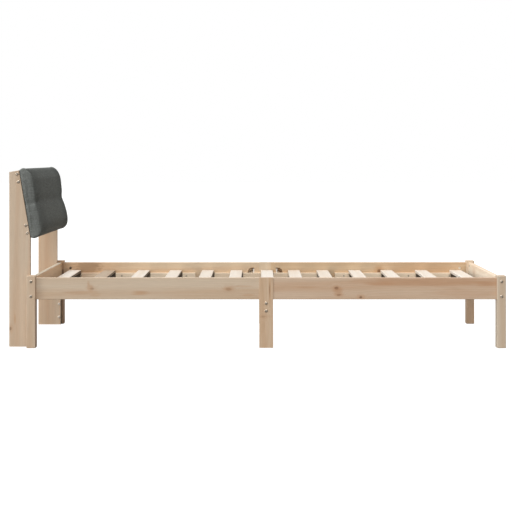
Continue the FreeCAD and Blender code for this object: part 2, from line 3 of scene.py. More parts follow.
import bpy
import numpy as np
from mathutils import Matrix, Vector


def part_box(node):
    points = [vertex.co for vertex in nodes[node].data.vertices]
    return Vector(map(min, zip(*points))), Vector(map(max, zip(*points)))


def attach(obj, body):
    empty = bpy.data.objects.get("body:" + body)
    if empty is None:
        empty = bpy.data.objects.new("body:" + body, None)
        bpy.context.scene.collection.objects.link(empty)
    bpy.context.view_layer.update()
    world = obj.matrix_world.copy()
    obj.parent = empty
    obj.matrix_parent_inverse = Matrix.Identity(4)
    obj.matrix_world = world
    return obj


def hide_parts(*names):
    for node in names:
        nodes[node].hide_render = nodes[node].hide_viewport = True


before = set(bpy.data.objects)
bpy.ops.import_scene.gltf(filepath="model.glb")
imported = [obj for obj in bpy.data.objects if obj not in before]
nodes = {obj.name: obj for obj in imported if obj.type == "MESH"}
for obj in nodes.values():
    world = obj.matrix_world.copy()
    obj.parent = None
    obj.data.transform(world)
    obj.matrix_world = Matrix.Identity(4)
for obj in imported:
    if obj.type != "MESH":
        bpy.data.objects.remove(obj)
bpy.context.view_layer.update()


# Studio: a pale floor that runs out to a white surround, brighter at the head end, with a soft
# light overhead and a weaker one from the near left. The level camera stands well back from the
# bed's left side; it sees the floor and the surround as plain white.
WHITE = (1, 1, 1, 1)
SURROUND_AT_HEAD = 1.15
SURROUND_AT_FOOT = 0.28
SURROUND_SEEN = 1.0
LAMPS = {
    "key_light": ((0.0, -0.40, 0.917), 1.72),
    "fill_light": ((-0.88, -0.40, 0.25), 0.95),
}
LAMP_SOFTNESS = math.radians(20)
FLOOR_REACH = 40.0
FLOOR_COLOUR = (0.23, 0.23, 0.228, 1)
FLOOR_ROUGHNESS = 0.9
FLOOR_GLOW = 0.92
CAMERA_PLACE = (0.002, -6.888, 0.8258)
CAMERA_LENS = 103.2
CAMERA_SHIFT = -0.194

scene = bpy.context.scene
scene.view_settings.view_transform = "Standard"


def wire(tree, kind, inputs=None, **settings):
    """A shader node with its settings; each input is given a value or is linked to an output."""
    made = tree.nodes.new(kind)
    for key, value in settings.items():
        setattr(made, key, value)
    for key, value in (inputs or {}).items():
        if isinstance(value, bpy.types.NodeSocket):
            tree.links.new(value, made.inputs[key])
        else:
            made.inputs[key].default_value = value
    return made


def emptied(owner):
    """The shader tree of a material or a surround, with nothing in it yet."""
    owner.use_nodes = True
    owner.node_tree.nodes.clear()
    return owner.node_tree


def coat(tree, finish):
    """The end of a material: the shader with its inputs, wired to the surface."""
    body = wire(tree, "ShaderNodeBsdfPrincipled", finish).outputs[0]
    wire(tree, "ShaderNodeOutputMaterial", {"Surface": body})


def bring_in(item):
    """Puts a new object into the scene."""
    scene.collection.objects.link(item)
    return item


surround = bpy.data.worlds.new("studio_surround")
tree = emptied(surround)
toward = wire(tree, "ShaderNodeTexCoord").outputs["Generated"]
along = wire(tree, "ShaderNodeSeparateXYZ", {"Vector": toward}).outputs["X"]
level = wire(tree, "ShaderNodeMapRange", {"Value": along, "From Min": -1.0, "From Max": 1.0,
                                          "To Min": SURROUND_AT_HEAD,
                                          "To Max": SURROUND_AT_FOOT}).outputs[0]
glow = wire(tree, "ShaderNodeBackground", {"Color": WHITE, "Strength": level}).outputs[0]
plain = wire(tree, "ShaderNodeBackground", {"Color": WHITE, "Strength": SURROUND_SEEN}).outputs[0]
seen = wire(tree, "ShaderNodeLightPath").outputs["Is Camera Ray"]
both = wire(tree, "ShaderNodeMixShader", {0: seen, 1: glow, 2: plain}).outputs[0]
wire(tree, "ShaderNodeOutputWorld", {"Surface": both})
scene.world = surround

for name, (source, strength) in LAMPS.items():
    lamp = bpy.data.lights.new(name, "SUN")
    lamp.energy = strength
    lamp.angle = LAMP_SOFTNESS
    light = bring_in(bpy.data.objects.new(name, lamp))
    light.rotation_euler = Vector(source).to_track_quat("Z", "Y").to_euler()

floor_mesh = bpy.data.meshes.new("floor")
corners = FLOOR_REACH * np.array([(-1, -1, 0), (1, -1, 0), (1, 1, 0), (-1, 1, 0)], float)
floor_mesh.from_pydata(corners.tolist(), [], [(0, 1, 2, 3)])
floor_paint = bpy.data.materials.new("floor_paint")
tree = emptied(floor_paint)
seen = wire(tree, "ShaderNodeLightPath").outputs["Is Camera Ray"]
glow = wire(tree, "ShaderNodeMath", {0: seen, 1: FLOOR_GLOW}, operation="MULTIPLY").outputs[0]
coat(tree, {"Base Color": FLOOR_COLOUR, "Roughness": FLOOR_ROUGHNESS,
            "Emission Color": WHITE, "Emission Strength": glow})
floor_mesh.materials.append(floor_paint)
floor = bring_in(bpy.data.objects.new("floor", floor_mesh))

camera_data = bpy.data.cameras.new("camera")
camera_data.lens = CAMERA_LENS
camera_data.shift_y = CAMERA_SHIFT
camera = bring_in(bpy.data.objects.new("camera", camera_data))
camera.location = CAMERA_PLACE
camera.rotation_euler = (math.pi / 2, 0, 0)
scene.camera = camera


# Posts: four corner posts of solid pine, planed and sanded, with rounded edges.
# Grain runs up the post; rails and boards are bolted to it through its width and its depth.
PINE_PALE = (0.64, 0.51, 0.38, 1)
PINE_RED = (0.57, 0.40, 0.265, 1)
PINE_LATE = (0.50, 0.335, 0.20, 1)
KNOT_RED = (0.50, 0.285, 0.155, 1)
KNOT_BROWN = (0.22, 0.125, 0.068, 1)
# Painted shade: the dark brown laid where shade falls.
PAINTED_SHADE_BROWN = (0.070, 0.047, 0.032, 1)
PINE_RING = 0.0042
GOLDEN = 0.6180339887
CHANCE_STEPS = np.array([1.0, 2.3, 3.7, 5.1])
GRAIN_TURNS = {"X": (0, 0, 0), "Y": (0, 0, -math.pi / 2), "Z": (0, math.pi / 2, 0)}
GRAIN_LEAN = 0.035
PITH_START = np.array([-3.0, 0.05, -0.08])
PITH_SPREAD = np.array([7.0, 0.05, 0.16])
# Noises in the wood: steps in a metre along the grain and across it, and detail.
RING_WANDER = (1.7, 9, 2.0)
KNOT_RIPPLE = (40, 160, 2.0)
FLAME_RIPPLE = (9, 85, 3.0)
FIGURE_STIR = (2.3, 26, 2.0)
STREAK = (1.1, 30, 3.0)
DRIFT = (0.8, 7, 1.0)
FIBRE = (16, 900, 2.0)
# Spans over which a mark of the wood sets in: where it is nothing and where it is full.
KNOT_BULGE_SPAN = (4.5, 0.6)
KNOT_HALO_SPAN = (3.4, 0.7)
KNOT_HEART_SPAN = (1.2, 0.5)
FLAME_SPAN = (1.2, 0.3)
PAINTED_SHADE_SPAN = (1.06, 0.94)
LATE_RISE = (0.30, 0.86)
LATE_DROP = (1.0, 0.90)
FIGURE_SPAN = (0.35, 0.95)
STREAK_SPAN = (0.38, 0.66)
DRIFT_SPAN = (0.35, 0.7)
FIBRE_SPAN = (0.2, 0.8)
PAINTED_FACE_SPAN = (0.8, 0.95)
# How far and how strongly each of them works.
WANDER_REACH = 0.028
KNOT_BULGE = 0.010
KNOT_HALO = 0.6
RAGGED = 1.4
FIGURE_RINGS = 6.5
FIGURE_REACH = 0.9
WARM_STREAK = 0.40
WARM_DRIFT = 0.40
WARM_FIGURE = 0.45
LATE_LEAST = 0.13
LATE_DRIFT = 0.14
SPECK_RANGE = (0.92, 1.05)
PINE_GLOSS = (0.40, 0.58)
LATE_HEIGHT = 0.5
GRAIN_BUMP = 0.25
GRAIN_DEPTH = 0.0003


def reckoners(tree):
    """Two functions for a shader tree: one joins numbers by a sum, the other joins vectors."""
    def reckon(operation, first, second=0.0, third=0.0):
        """The result of a sum of up to three numbers."""
        inputs = {0: first, 1: second, 2: third}
        return wire(tree, "ShaderNodeMath", inputs, operation=operation).outputs[0]

    def steer(operation, first, second=(0, 0, 0)):
        """The result of a sum of up to two vectors, or the length of one."""
        made = wire(tree, "ShaderNodeVectorMath", {0: first, 1: second}, operation=operation)
        return made.outputs["Value" if operation == "LENGTH" else "Vector"]

    return reckon, steer


def mixed(tree, factor, first, second, blend="MIX"):
    """Two colours mixed by a factor, or multiplied with each other."""
    made = wire(tree, "ShaderNodeMix", data_type="RGBA", blend_type=blend)
    for key, value in {"Factor": factor, "A": first, "B": second}.items():
        socket = next(each for each in made.inputs if each.name == key and each.enabled)
        if isinstance(value, bpy.types.NodeSocket):
            tree.links.new(value, socket)
        else:
            socket.default_value = value
    return next(each for each in made.outputs if each.enabled)


def pine(name, run, seed, pale=PINE_PALE, red=PINE_RED, late=PINE_LATE, ring=PINE_RING,
         knots=(), flames_and_painted_shade=(), painted_shades=(), tone=(1, 1, 1), edge=None, painted_face_way="X"):
    """Solid pine: yearly rings are shells at equal steps of distance from a log's axis, which runs
    nearly along the piece and wanders with a slow noise; long streaks vary the tint, fine fibres
    the gloss, and rings bulge round each knot. Knots and red flame marks are ragged ellipsoids, and
    some flame marks stand for painted shade; painted shade is also laid as dark boxes; each is
    given as a place, its half sizes and its strength. A flat colour, painted light on some pieces
    and painted shade on others, lies on the faces that look one way along an axis."""
    material = bpy.data.materials.new(name)
    tree = emptied(material)
    reckon, steer = reckoners(tree)
    pale, red, late, knot_red, knot_brown = [
        (*np.multiply(colour[:3], tone), 1) for colour in (pale, red, late, KNOT_RED, KNOT_BROWN)]
    chance = np.modf((seed + 1) * GOLDEN * CHANCE_STEPS)[0]
    turn = np.array(GRAIN_TURNS[run]) + GRAIN_LEAN * (chance[3] - 0.5) * np.array([0, 1, 1])
    pith = PITH_START + PITH_SPREAD * chance[:3]
    place = wire(tree, "ShaderNodeTexCoord").outputs["Object"]
    grain = wire(tree, "ShaderNodeMapping",
                 {"Vector": place, "Location": pith, "Rotation": turn}).outputs[0]

    def stretched(noise):
        """A noise drawn out along the grain."""
        lengthways, across, detail = noise
        vector = steer("MULTIPLY", grain, (lengthways, across, across))
        inputs = {"Vector": vector, "Scale": 1.0, "Detail": detail}
        return wire(tree, "ShaderNodeTexNoise", inputs).outputs[0]

    def ranged(value, span, ends=(0.0, 1.0)):
        """A value carried smoothly from the two numbers of a span to the two ends."""
        inputs = {"Value": value, "From Min": span[0], "From Max": span[1],
                  "To Min": ends[0], "To Max": ends[1]}
        return wire(tree, "ShaderNodeMapRange", inputs, interpolation_type="SMOOTHSTEP").outputs[0]

    def apart(centre, halves):
        """Steps from a centre along the axes, in half sizes; an endless axis counts for nothing."""
        scale = [0 if half is None else 1 / half for half in halves]
        return steer("MULTIPLY", steer("SUBTRACT", place, centre), scale)

    def ragged(centre, halves, noise):
        """Distance from a centre, 1 on an ellipsoid of these half sizes, made uneven by a noise."""
        away = steer("LENGTH", apart(centre, halves))
        away = reckon("MULTIPLY_ADD", stretched(noise), RAGGED, away)
        return reckon("SUBTRACT", away, RAGGED / 2)

    def boxed(centre, halves):
        """Distance from a centre, 1 on a box of these half sizes."""
        away = steer("ABSOLUTE", apart(centre, halves))
        x, y, z = wire(tree, "ShaderNodeSeparateXYZ", {"Vector": away}).outputs
        return reckon("MAXIMUM", reckon("MAXIMUM", x, y), z)

    radius = steer("LENGTH", steer("MULTIPLY", grain, (0, 1, 1)))
    radius = reckon("MULTIPLY_ADD", stretched(RING_WANDER), WANDER_REACH, radius)
    marks = []
    for centre, halves, strength in knots:
        away = ragged(centre, halves, KNOT_RIPPLE)
        radius = reckon("ADD", radius, ranged(away, KNOT_BULGE_SPAN, (0.0, KNOT_BULGE)))
        marks.append((ranged(away, KNOT_HALO_SPAN), KNOT_HALO * strength, knot_red))
        marks.append((ranged(away, KNOT_HEART_SPAN), strength, knot_brown))
    # Red flame marks, some of them painted shade.
    for centre, halves, strength in flames_and_painted_shade:
        away = ragged(centre, halves, FLAME_RIPPLE)
        marks.append((ranged(away, FLAME_SPAN), strength, knot_red))

    turns = reckon("FRACT", reckon("DIVIDE", radius, ring))
    late_wood = reckon("MULTIPLY", ranged(turns, LATE_RISE), ranged(turns, LATE_DROP))
    figure = reckon("DIVIDE", radius, FIGURE_RINGS * ring)
    figure = reckon("MULTIPLY_ADD", stretched(FIGURE_STIR), FIGURE_REACH, figure)
    figure = ranged(reckon("PINGPONG", figure, 1.0), FIGURE_SPAN)
    streak = ranged(stretched(STREAK), STREAK_SPAN)
    drift = ranged(stretched(DRIFT), DRIFT_SPAN)
    fibre = stretched(FIBRE)
    warm = reckon("MULTIPLY_ADD", streak, WARM_STREAK, reckon("MULTIPLY", drift, WARM_DRIFT))
    warm = reckon("MULTIPLY_ADD", figure, WARM_FIGURE, warm)
    colour = mixed(tree, warm, pale, red)
    ringed = reckon("MULTIPLY_ADD", drift, LATE_DRIFT, LATE_LEAST)
    colour = mixed(tree, reckon("MULTIPLY", late_wood, ringed), colour, late)
    for cover, strength, tint in marks:
        colour = mixed(tree, reckon("MULTIPLY", cover, strength), colour, tint)
    # Painted shade: dark boxes over the wood.
    for centre, halves, strength in painted_shades:
        cover = ranged(boxed(centre, halves), PAINTED_SHADE_SPAN)
        colour = mixed(tree, reckon("MULTIPLY", cover, strength), colour, PAINTED_SHADE_BROWN)
    # Flat colour of painted light and shade: slat sides facing the foot, the head board's top.
    if edge is not None:
        facing = wire(tree, "ShaderNodeNewGeometry").outputs["True Normal"]
        facing = wire(tree, "ShaderNodeSeparateXYZ", {"Vector": facing}).outputs[painted_face_way]
        colour = mixed(tree, ranged(facing, PAINTED_FACE_SPAN), colour, edge)
    speck = ranged(fibre, FIBRE_SPAN, SPECK_RANGE)
    specks = wire(tree, "ShaderNodeCombineColor", {0: speck, 1: speck, 2: speck}).outputs[0]
    colour = mixed(tree, 1.0, colour, specks, "MULTIPLY")
    height = reckon("MULTIPLY_ADD", late_wood, LATE_HEIGHT, fibre)
    bump = wire(tree, "ShaderNodeBump", {"Height": height, "Strength": GRAIN_BUMP,
                                         "Distance": GRAIN_DEPTH}).outputs[0]
    gloss = ranged(fibre, FIBRE_SPAN, PINE_GLOSS)
    coat(tree, {"Base Color": colour, "Roughness": gloss, "Normal": bump})
    return material


def dress(name, material):
    """Gives a carried-over piece its finish."""
    slots = nodes[name].data.materials
    slots.clear()
    slots.append(material)


# The right head post is toned darker and redder, painted shade; the right foot post is toned paler,
# painted light on its upper part.
POST_TONES = {
    "head_post_left": (1, 1, 0.99),
    "head_post_right": (1.08, 0.92, 0.80),
    "foot_post_left": (1, 1.06, 1.11),
    "foot_post_right": (1.14, 1.20, 1.24),
}
post_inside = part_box("head_post_right")[0][1]
post_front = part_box("head_post_left")[1][0]
# Painted shade on the right head post's inner face below the board's top, darkest low in the corner
# by the board and rail.
POST_PAINTED_SHADES = {
    "head_post_right": [((0, post_inside, 0.152), (None, 0.003, 0.152), 0.28),
                        ((0, post_inside, 0.236), (None, 0.003, 0.034), 0.55)],
}
# Painted shade in warm brown: on the left head post's face towards the foot, and on the lower part
# of the right foot post, under the bed.
POST_WARM_PAINTED_SHADE = {
    "head_post_left": [((post_front, 0, 0), (0.002, None, None), 0.45)],
    "foot_post_right": [((0, 0, 0.05), (None, None, 0.17), 0.62)],
}
for number, (name, tone) in enumerate(POST_TONES.items()):
    dress(name, pine(f"pine_{name}", "Z", number, flames_and_painted_shade=POST_WARM_PAINTED_SHADE.get(name, ()),
                     painted_shades=POST_PAINTED_SHADES.get(name, ()), tone=tone))


# Side rails: planed pine boards, two to each side, bolted to the corner posts and butted against
# the middle leg. Flat-sawn, so broad streaks and small knots show on their faces; the left ones
# carry the photographed knots.
RAIL_KNOTS = {
    "side_rail_head_left": [((-0.7166, -0.480, 0.2576), (0.012, None, 0.006), 0.50),
                            ((-0.1235, -0.480, 0.2545), (0.014, None, 0.007), 0.55)],
    "side_rail_foot_left": [((0.345, -0.480, 0.2590), (0.009, None, 0.006), 1.0),
                            ((0.356, -0.480, 0.2302), (0.009, None, 0.005), 0.60),
                            ((0.4514, -0.480, 0.2203), (0.008, None, 0.005), 0.90)],
    # A broad darker, browner patch next to the head end.
    "side_rail_head_right": [((-0.840, 0.458, 0.280), (0.068, 0.010, 0.060), 0.60)],
    "side_rail_foot_right": [((0.6068, 0.458, 0.261), (0.011, None, 0.011), 1.0)],
}
RAIL_FLAMES = {
    "side_rail_head_left": [((-0.776, -0.480, 0.240), (0.085, None, 0.010), 0.40),
                            ((-0.725, -0.480, 0.262), (0.016, None, 0.016), 0.45),
                            ((-0.732, -0.480, 0.279), (0.008, None, 0.014), 0.45),
                            ((-0.700, -0.480, 0.232), (0.028, None, 0.016), 0.30),
                            ((-0.508, -0.480, 0.239), (0.045, None, 0.011), 0.65),
                            ((-0.1235, -0.480, 0.2545), (0.032, None, 0.010), 0.55),
                            ((-0.060, -0.480, 0.268), (0.060, None, 0.005), 0.35),
                            ((-0.035, -0.480, 0.229), (0.032, None, 0.006), 0.40)],
    "side_rail_foot_left": [((0.740, -0.480, 0.287), (0.360, None, 0.024), 0.60),
                            ((0.530, -0.480, 0.279), (0.065, None, 0.010), 0.50),
                            ((0.990, -0.480, 0.281), (0.050, None, 0.013), 0.60),
                            ((0.900, -0.480, 0.235), (0.170, None, 0.030), 0.30),
                            ((0.352, -0.480, 0.248), (0.026, None, 0.022), 0.50),
                            ((0.210, -0.480, 0.263), (0.060, None, 0.005), 0.35)],
    # Broad reddish darkening: near the head end, and over the foot end of the rail.
    "side_rail_head_right": [((-0.860, 0.458, 0.280), (0.130, None, 0.150), 0.14)],
    "side_rail_foot_right": [((0.820, 0.458, 0.280), (0.230, None, 0.150), 0.40)],
}
RAIL_TONES = {
    "side_rail_head_left": (1, 1.01, 1.01),
    "side_rail_foot_left": (0.99, 0.94, 0.92),
    "side_rail_head_right": (1.17, 1.20, 1.17),
    "side_rail_foot_right": (1.04, 0.99, 0.87),
}
RAIL_SEED = 10
for number, (name, tone) in enumerate(RAIL_TONES.items()):
    dress(name, pine(f"pine_{name}", "X", RAIL_SEED + number, knots=RAIL_KNOTS[name],
                     flames_and_painted_shade=RAIL_FLAMES[name], tone=tone))


# Head and foot boards: the same planed pine across the bed's ends, between the posts.
# Grain runs across the bed; each is drawn to its posts by two bolts and barrel nuts at each end.
BOARD_KNOTS = {
    "head_board": [((-0.98, -0.16, 0.262), (None, 0.011, 0.007), 0.45)],
    "foot_board": [((1.0488, 0.248, 0.268), (None, 0.024, 0.012), 0.25)],
}
BOARD_TONES = {"head_board": (1.40, 1.24, 1.06), "foot_board": (1.43, 1.54, 1.63)}
# Painted light: the head board's top face is coloured pale cream.
BOARD_PAINTED_LIGHT_TOPS = {"head_board": (1.0, 0.87, 0.67, 1), "foot_board": None}
BOARD_SEED = 20
for number, (name, tone) in enumerate(BOARD_TONES.items()):
    dress(name, pine(f"pine_{name}", "Y", BOARD_SEED + number, knots=BOARD_KNOTS[name], tone=tone,
                     edge=BOARD_PAINTED_LIGHT_TOPS[name], painted_face_way="Z"))


# Middle legs and tie beam: short pine boards that hold the joint of the half rails off the floor.
# The beam spans the bed under the slats between the legs and is bolted to both of them.
LEG_KNOTS = {
    "middle_leg_left": [((0.0552, -0.483, 0.250), (0.002, None, 0.030), 0.70),
                        ((0.027, -0.483, 0.136), (0.012, None, 0.005), 0.30)],
}
LEG_TONES = {"middle_leg_left": (1, 0.94, 0.87), "middle_leg_right": (1.19, 1.32, 1.39)}
LEG_SEED = 31
BEAM_KNOTS = [((0.04, 0.25, 0.182), (None, 0.011, 0.007), 0.5)]
BEAM_SEED = 33
for number, (name, tone) in enumerate(LEG_TONES.items()):
    dress(name, pine(f"pine_{name}", "Z", LEG_SEED + number, knots=LEG_KNOTS.get(name, ()),
                     tone=tone))
dress("tie_beam", pine("pine_tie_beam", "Y", BEAM_SEED, knots=BEAM_KNOTS))


# Ledges: square pine strips screwed to the rails' inner faces, three to a side with gaps between
# them. They are coloured paler than the rails and are darker near the head end; the right ones
# carry a painted shadow under each slat.
LEDGE_PALE = (0.94, 0.775, 0.585, 1)
LEDGE_RED = (0.91, 0.73, 0.535, 1)
LEDGE_LATE = (0.78, 0.60, 0.43, 1)
LEDGE_RING = 0.003
LEDGE_FLAMES = [((-0.880, 0, 0), (0.110, None, None), 0.55)]
LEDGE_SEED = 40
# Painted shadow under the slats: its shift, the margin round each ledge, and its strength.
PAINTED_SHADOW_SHIFT = 0.004
PAINTED_SHADOW_MARGIN = 0.05
PAINTED_SHADOW_STRENGTH = 0.93


def like(start):
    """The names of the carried-over pieces that start alike, in order."""
    return sorted(name for name in nodes if name.startswith(start))


def middle(name):
    """The middle of a carried-over piece's box."""
    low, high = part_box(name)
    return (np.array(low) + np.array(high)) / 2


SLATS = like("slat_0") + like("slat_1")
# Painted shadow: a dark box on the right ledges under each slat.
painted_shadows_under_slats = []
for slat in SLATS:
    low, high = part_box(slat)
    centre = (middle(slat)[0] + PAINTED_SHADOW_SHIFT, 0, 0)
    painted_shadows_under_slats.append((centre, ((high[0] - low[0]) / 2, None, None), PAINTED_SHADOW_STRENGTH))
for number, name in enumerate(like("slat_ledge")):
    start, end = [corner[0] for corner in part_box(name)]
    painted_shades = [shade for shade in painted_shadows_under_slats
              if "right" in name and start - PAINTED_SHADOW_MARGIN < shade[0][0] < end + PAINTED_SHADOW_MARGIN]
    dress(name, pine(f"pine_{name}", "X", LEDGE_SEED + number, LEDGE_PALE, LEDGE_RED, LEDGE_LATE,
                     LEDGE_RING, flames_and_painted_shade=LEDGE_FLAMES, painted_shades=painted_shades))


# Slats: thirteen thin laths of pale bare softwood across the bed, screwed down at both ends.
# They lie closer in the middle; one lath is darker and redder than the others, and the first, by
# the headrest, is painted lighter against the headrest's shade. Their sides that face the foot
# carry painted shade in dark brown.
SLAT_PALE = (0.84, 0.765, 0.675, 1)
SLAT_RED = (0.78, 0.67, 0.555, 1)
SLAT_LATE = (0.69, 0.56, 0.42, 1)
SLAT_PAINTED_SHADE_SIDE = (0.16, 0.115, 0.08, 1)
SLAT_RING = 0.0032
# Tones: the first slat's is painted light; the second slat's makes it darker and redder.
SLAT_TONES = {"slat_01": (1.12, 1.13, 1.15), "slat_02": (0.59, 0.50, 0.40)}
SLAT_SEED = 60
for number, name in enumerate(SLATS):
    dress(name, pine(f"pine_{name}", "Y", SLAT_SEED + number, SLAT_PALE, SLAT_RED, SLAT_LATE,
                     SLAT_RING, tone=SLAT_TONES.get(name, (1, 1, 1)), edge=SLAT_PAINTED_SHADE_SIDE))


# Headrest uprights: tall pine planks behind the head posts, sawn back at the top to lean the
# headrest. Each is bolted to its post near the floor and notched under the head board. The right
# one is toned lighter, painted light against the headrest's shade, and its front below the rail
# carries painted shade.
UPRIGHT_SEEDS = {"left": 85, "right": 82}
UPRIGHT_KNOTS = [((-1.0766, -0.443, 0.0793), (0.006, None, 0.009), 0.6)]
UPRIGHT_FLAMES = [((-1.057, -0.443, 0.120), (0.006, None, 0.028), 0.5)]
UPRIGHT_PAINTED_LIGHT = (1.22, 1.20, 1.18)
upright_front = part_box("headrest_upright_right")[1][0]
# Painted shade: a near-black layer on the right upright's front, below the rail.
UPRIGHT_PAINTED_SHADES = [((upright_front, 0, 0), (0.0015, None, 0.30), 0.9)]
dress("headrest_upright_left", pine("pine_headrest_upright_left", "Z", UPRIGHT_SEEDS["left"],
                                    knots=UPRIGHT_KNOTS, flames_and_painted_shade=UPRIGHT_FLAMES))
dress("headrest_upright_right", pine("pine_headrest_upright_right", "Z", UPRIGHT_SEEDS["right"],
                                     painted_shades=UPRIGHT_PAINTED_SHADES, tone=UPRIGHT_PAINTED_LIGHT))


# Headrest battens: two pine bars between the uprights that carry the padded panel.
# They lean with the headrest, and the panel is screwed on from behind through them.
BATTEN_RING = 0.0034
BATTEN_SEED = 90
for number, name in enumerate(like("headrest_batten")):
    dress(name, pine(f"pine_{name}", "Y", BATTEN_SEED + number, ring=BATTEN_RING))


# Backing panel: plywood, with the pad drawn over its edges.
# Its back is bare, with the wide soft figure of peeled veneer.
VENEER_PALE = (0.62, 0.47, 0.33, 1)
VENEER_RED = (0.56, 0.40, 0.26, 1)
VENEER_LATE = (0.50, 0.34, 0.21, 1)
VENEER_RING = 0.011
VENEER_SEED = 95
dress("headrest_panel", pine("plywood_panel", "Y", VENEER_SEED, VENEER_PALE, VENEER_RED,
                             VENEER_LATE, VENEER_RING))


# Bolts: zinc-plated button-head bolts with a hexagon socket, turned from steel bar.
# They pull the posts, legs and uprights onto the ends of rails, boards, beam and battens.
BOLT_SIDES = 24
BOLT_CORE = 0.00255
HEAD_RADIUS = 0.0065
HEAD_HEIGHT = 0.0033
HEAD_RIM = 0.0008
DOME_STEPS = 6
DOME_START = 0.42
SOCKET_FLAT = 0.002
SOCKET_DEPTH = 0.0021
SOCKET_LIP = 0.0001
SOCKET_FLARE = 1.12
SOCKET_RISE = 0.0003
TIP_LENGTH = 0.0006
TIP_SHARE = 0.7
ZINC_DARK = (0.44, 0.37, 0.29, 1)
ZINC_PALE = (0.66, 0.57, 0.47, 1)
WARM_ZINC_DARK = (0.74, 0.64, 0.53, 1)
WARM_ZINC_PALE = (0.96, 0.86, 0.74, 1)
DULL_METAL = 0.3
MOTTLE_SCALE = 420.0
MOTTLE_DETAIL = 3.0
PLATE_GLOSS = (0.22, 0.42)
PLATE_BUMP = 0.15
PLATE_DEPTH = 0.0001
NEARLY_ALONG = 0.9
UP = (0, 0, 1)
TILT = math.radians(9.7)
FORWARD = np.array([math.cos(TILT), 0, math.sin(TILT)])
ALONG_SLANT = np.array([-math.sin(TILT), 0, math.cos(TILT)])


def plated(name, dark, pale, metal=1.0, painted_light_at_foot=None):
    """Plated steel: a fine noise mottles its tint and its gloss and gives a faint bump; pieces in
    the foot half of the bed may be given a paler colour, painted light."""
    material = bpy.data.materials.new(name)
    tree = emptied(material)
    place = wire(tree, "ShaderNodeTexCoord").outputs["Object"]
    mottle = wire(tree, "ShaderNodeTexNoise", {"Vector": place, "Scale": MOTTLE_SCALE,
                                               "Detail": MOTTLE_DETAIL}).outputs[0]
    ramp = wire(tree, "ShaderNodeValToRGB", {"Fac": mottle})
    ramp.color_ramp.elements[0].color = dark
    ramp.color_ramp.elements[1].color = pale
    tint = ramp.outputs[0]
    if painted_light_at_foot is not None:
        reckon = reckoners(tree)[0]
        along = wire(tree, "ShaderNodeSeparateXYZ", {"Vector": place}).outputs["X"]
        tint = mixed(tree, reckon("GREATER_THAN", along, 0.0), tint, painted_light_at_foot)
    gloss = wire(tree, "ShaderNodeMapRange", {"Value": mottle, "To Min": PLATE_GLOSS[0],
                                              "To Max": PLATE_GLOSS[1]}).outputs[0]
    bump = wire(tree, "ShaderNodeBump", {"Height": mottle, "Strength": PLATE_BUMP,
                                         "Distance": PLATE_DEPTH}).outputs[0]
    coat(tree, {"Base Color": tint, "Metallic": metal, "Roughness": gloss, "Normal": bump})
    return material


zinc_plate = plated("zinc_plate", ZINC_DARK, ZINC_PALE)
warm_zinc = plated("warm_zinc", WARM_ZINC_DARK, WARM_ZINC_PALE, DULL_METAL)
angle = np.arange(BOLT_SIDES) * 2 * np.pi / BOLT_SIDES
rim = np.stack([np.cos(angle), np.sin(angle), np.zeros(BOLT_SIDES)], axis=1)
hexagon = rim / np.cos((angle + np.pi / 6) % (np.pi / 3) - np.pi / 6)[:, None]


def ring_at(outline, radius, height):
    """An outline of unit size, scaled and lifted."""
    return outline * radius + np.array([0, 0, height])


def turned_axes(ways):
    """For each direction, a turned set of axes whose third axis points along it."""
    third = np.array(ways, float)
    helper = np.where(np.abs(third[:, :1]) < NEARLY_ALONG, [[1.0, 0, 0]], [[0, 1.0, 0]])
    first = np.cross(helper, third)
    first = first / np.linalg.norm(first, axis=1)[:, None]
    return np.stack([first, np.cross(third, first), third], axis=2)


def fitted(item, node):
    """The piece stands for its CAD node: it hangs under the root body, and the node is hidden."""
    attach(item, "root")
    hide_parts(node)


def fasten(node, rings, starts, ways, finish=zinc_plate):
    """Copies of a closed skin over a stack of rings, from the middle of its head round to its tip;
    a copy stands at each start with its head towards its way. They stand for a CAD node."""
    rings = np.array(rings)
    starts = np.array(starts, float)
    levels, sides = rings.shape[:2]
    places = starts[:, None, None, :] + np.einsum("mij,lnj->mlni", turned_axes(ways), rings)
    index = np.arange(levels * sides).reshape(levels, sides)
    beside = np.roll(index, -1, axis=1)
    quads = np.stack([index[:-1], index[1:], beside[1:], beside[:-1]], axis=2).reshape(-1, 4)
    offsets = np.arange(len(starts)) * levels * sides
    faces = (offsets[:, None, None] + quads).reshape(-1, 4).tolist()
    faces += (offsets[:, None] + index[0]).tolist()
    faces += (offsets[:, None] + index[-1][::-1]).tolist()
    mesh = bpy.data.meshes.new(f"{node}_turned")
    mesh.from_pydata(places.reshape(-1, 3).tolist(), [], faces)
    mesh.materials.append(finish)
    fitted(bring_in(bpy.data.objects.new(f"{node}_turned", mesh)), node)


def bolt_rings(length):
    """Socket floor and wall, then a dome that follows a quarter ellipse, the flat under the head,
    and the shank down to its tip."""
    lift = np.linspace(DOME_START, 1.0, DOME_STEPS) * np.pi / 2
    dome = [ring_at(rim, HEAD_RADIUS * math.sin(turn),
                    HEAD_RIM + (HEAD_HEIGHT - HEAD_RIM) * math.cos(turn)) for turn in lift]
    top = dome[0][0, 2]
    socket = [ring_at(hexagon, SOCKET_FLAT, top - SOCKET_DEPTH),
              ring_at(hexagon, SOCKET_FLAT, top + SOCKET_LIP),
              ring_at(hexagon, SOCKET_FLAT * SOCKET_FLARE, top + SOCKET_RISE)]
    return socket + dome + [ring_at(rim, HEAD_RADIUS, 0.0),
                            ring_at(rim, BOLT_CORE, 0.0),
                            ring_at(rim, BOLT_CORE, TIP_LENGTH - length),
                            ring_at(rim, BOLT_CORE * TIP_SHARE, -length)]


def couples(points, spacing, direction):
    """Two places for each point, half a spacing to either side of it."""
    step = np.array(direction) * spacing / 2
    return [point + sign * step for point in points for sign in (-1, 1)]


